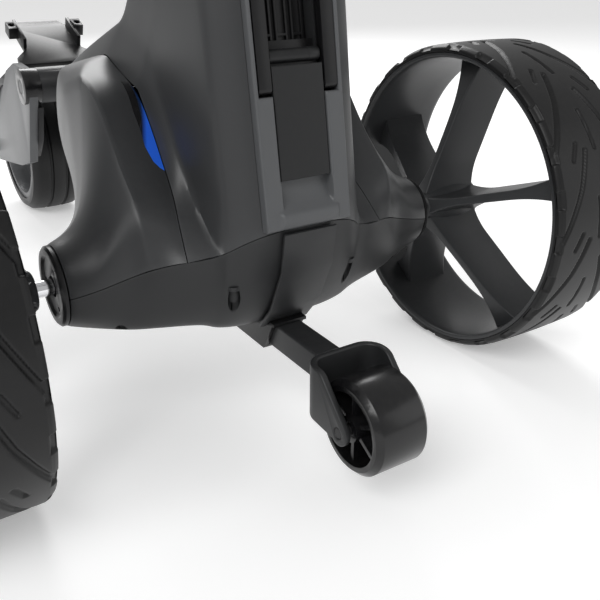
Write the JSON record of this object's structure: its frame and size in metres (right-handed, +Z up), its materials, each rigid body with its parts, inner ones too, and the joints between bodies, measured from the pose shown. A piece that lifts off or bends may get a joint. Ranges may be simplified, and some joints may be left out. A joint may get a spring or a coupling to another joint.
{
  "type": "electric golf trolley",
  "caption": "Folding electric golf trolley: motor housing with rear battery bay, spoked drive wheels, anti-tip wheel, folding front wheel, leaning mast with bag cradle and handle.",
  "frame": {"origin": "on the ground in the middle of the unfolded trolley's footprint", "axes": "+X to the right seen from behind, +Y forward towards the front wheel, +Z up"},
  "size_m": [0.592, 1.1876, 0.9512],
  "materials": {
    "shell_plastic": "satin moulded grey",
    "tray_plastic": "satin moulded dark grey",
    "trim_plastic": "satin moulded light graphite",
    "black_plastic": "fine grain black",
    "gloss_black": "polished black",
    "accent_blue": "semi-gloss blue",
    "tread_rubber": "moulded rubber",
    "pad_rubber": "soft grip",
    "frame_paint": "powder coated extrusion",
    "chrome_steel": "polished",
    "bearing_steel": "turned",
    "motor_steel": "plated can",
    "screw_steel": "blackened",
    "cast_aluminium": "cast",
    "gear_plastic": "moulded gear resin",
    "display_glass": "hard coated window"
  },
  "bodies": {
    "chassis": {"spine_shell": "shell_plastic", "side_shell_right": "shell_plastic", "side_shell_left": "shell_plastic", "lower_tray": "tray_plastic", "tray_screws": "screw_steel", "tray_panel": "tray_plastic", "top_cover": "shell_plastic", "accent_blade_right": "gloss_black", "accent_blade_left": "gloss_black", "accent_inlay_right": "accent_blue", "accent_inlay_left": "accent_blue", "bay_surround": "trim_plastic", "battery_bay": "tray_plastic", "controller": "cast_aluminium", "end_ring_right": "black_plastic", "end_ring_left": "black_plastic", "axle_bearings": "bearing_steel", "gear_case": "black_plastic", "motor": "motor_steel", "arm_receiver": "black_plastic", "front_frame": "frame_paint", "mast_bracket": "frame_paint"},
    "battery": {"battery_panel": "shell_plastic", "battery_case": "black_plastic"},
    "bail": {"battery_bail": "black_plastic"},
    "drive": {"axle_shaft": "chrome_steel", "drive_gear": "gear_plastic"},
    "pinion": {"motor_pinion": "bearing_steel"},
    "wheel_right": {"wheel_right_tyre": "tread_rubber", "wheel_right_rim": "trim_plastic"},
    "release_right": {"wheel_right_button": "black_plastic"},
    "wheel_left": {"wheel_left_tyre": "tread_rubber", "wheel_left_rim": "trim_plastic"},
    "release_left": {"wheel_left_button": "black_plastic"},
    "anti_tip": {"anti_tip_arm": "frame_paint", "anti_tip_fork": "tray_plastic", "anti_tip_pin": "bearing_steel"},
    "tip_wheel": {"anti_tip_wheel": "gloss_black"},
    "arm_release": {"arm_button": "black_plastic"},
    "fork": {"fork_leg_right": "trim_plastic", "fork_web_right": "black_plastic", "fork_leg_left": "trim_plastic", "fork_web_left": "black_plastic", "front_axle": "bearing_steel", "bag_plate": "black_plastic"},
    "front_wheel": {"front_rim": "trim_plastic", "front_tyre": "tread_rubber"},
    "tracking": {"tracking_dial": "black_plastic"},
    "lever": {"latch_lever": "black_plastic"},
    "mast": {"mast_tube": "frame_paint", "bag_cradle": "black_plastic", "cradle_pads": "pad_rubber", "cradle_strap": "pad_rubber", "mast_top": "black_plastic"},
    "handle": {"handle_stem": "frame_paint", "handle_head": "shell_plastic", "display": "display_glass", "hand_grips": "pad_rubber"},
    "dial": {"speed_dial": "gloss_black"},
    "power": {"power_button": "accent_blue"}
  },
  "joints": [
    {"name": "wheel_right_spin", "type": "hinge", "parent": "chassis", "child": "wheel_right", "pos_m": [0, -0.1562, 0.1425], "axis": [1, 0, 0], "continuous": true},
    {"name": "wheel_left_spin", "type": "hinge", "parent": "chassis", "child": "wheel_left", "pos_m": [0, -0.1562, 0.1425], "axis": [1, 0, 0], "continuous": true},
    {"name": "axle_spin", "type": "hinge", "parent": "chassis", "child": "drive", "pos_m": [0, -0.1562, 0.1425], "axis": [1, 0, 0], "continuous": true},
    {"name": "pinion_spin", "type": "hinge", "parent": "chassis", "child": "pinion", "pos_m": [0, -0.10679, 0.15574], "axis": [1, 0, 0], "continuous": true},
    {"name": "release_right_press", "type": "slide", "parent": "wheel_right", "child": "release_right", "axis": [-1, 0, 0], "range_m": [0, 0.003], "stiffness_N_per_m": 600},
    {"name": "release_left_press", "type": "slide", "parent": "wheel_left", "child": "release_left", "axis": [1, 0, 0], "range_m": [0, 0.003], "stiffness_N_per_m": 600},
    {"name": "anti_tip_wheel_spin", "type": "hinge", "parent": "anti_tip", "child": "tip_wheel", "pos_m": [0, -0.3232, 0.0652], "axis": [1, 0, 0], "continuous": true},
    {"name": "anti_tip_slide", "type": "slide", "parent": "chassis", "child": "anti_tip", "axis": [0, -1, 0], "range_m": [0, 0.05]},
    {"name": "arm_release_press", "type": "slide", "parent": "chassis", "child": "arm_release", "axis": [-1, 0, 0], "range_m": [0, 0.0025], "stiffness_N_per_m": 600},
    {"name": "battery_slide", "type": "slide", "parent": "chassis", "child": "battery", "axis": [0, -0.9877, 0.1564], "range_m": [0, 0.08]},
    {"name": "bail_swing", "type": "hinge", "parent": "battery", "child": "bail", "pos_m": [0, -0.22392, 0.2771], "axis": [1, 0, 0], "range_deg": [0, 100]},
    {"name": "front_fold", "type": "hinge", "parent": "chassis", "child": "fork", "pos_m": [0, 0.2788, 0.212], "axis": [-1, 0, 0], "range_deg": [0, 105]},
    {"name": "front_wheel_spin", "type": "hinge", "parent": "fork", "child": "front_wheel", "pos_m": [0, 0.4938, 0.1], "axis": [1, 0, 0], "continuous": true},
    {"name": "tracking_turn", "type": "hinge", "parent": "fork", "child": "tracking", "pos_m": [0, 0.4938, 0.1], "axis": [1, 0, 0], "range_deg": [-90, 90]},
    {"name": "latch_lift", "type": "hinge", "parent": "chassis", "child": "lever", "pos_m": [0, 0.06735, 0.27875], "axis": [-1, 0, 0], "range_deg": [0, 40]},
    {"name": "mast_fold", "type": "hinge", "parent": "chassis", "child": "mast", "pos_m": [0, -0.1682, 0.464], "axis": [-1, 0, 0], "range_deg": [0, 105]},
    {"name": "handle_fold", "type": "hinge", "parent": "mast", "child": "handle", "pos_m": [0, -0.37805, 0.85868], "axis": [1, 0, 0], "range_deg": [-30, 60]},
    {"name": "speed_turn", "type": "hinge", "parent": "handle", "child": "dial", "pos_m": [0, -0.55593, 0.94086], "axis": [0, -0.1736, 0.9848], "continuous": true},
    {"name": "power_press", "type": "slide", "parent": "handle", "child": "power", "axis": [0, 0.1736, -0.9848], "range_m": [0, 0.0015], "stiffness_N_per_m": 400}
  ],
  "couplings": [
    {"joint": "pinion_spin", "follows": "axle_spin", "ratio": -3.8571}
  ]
}
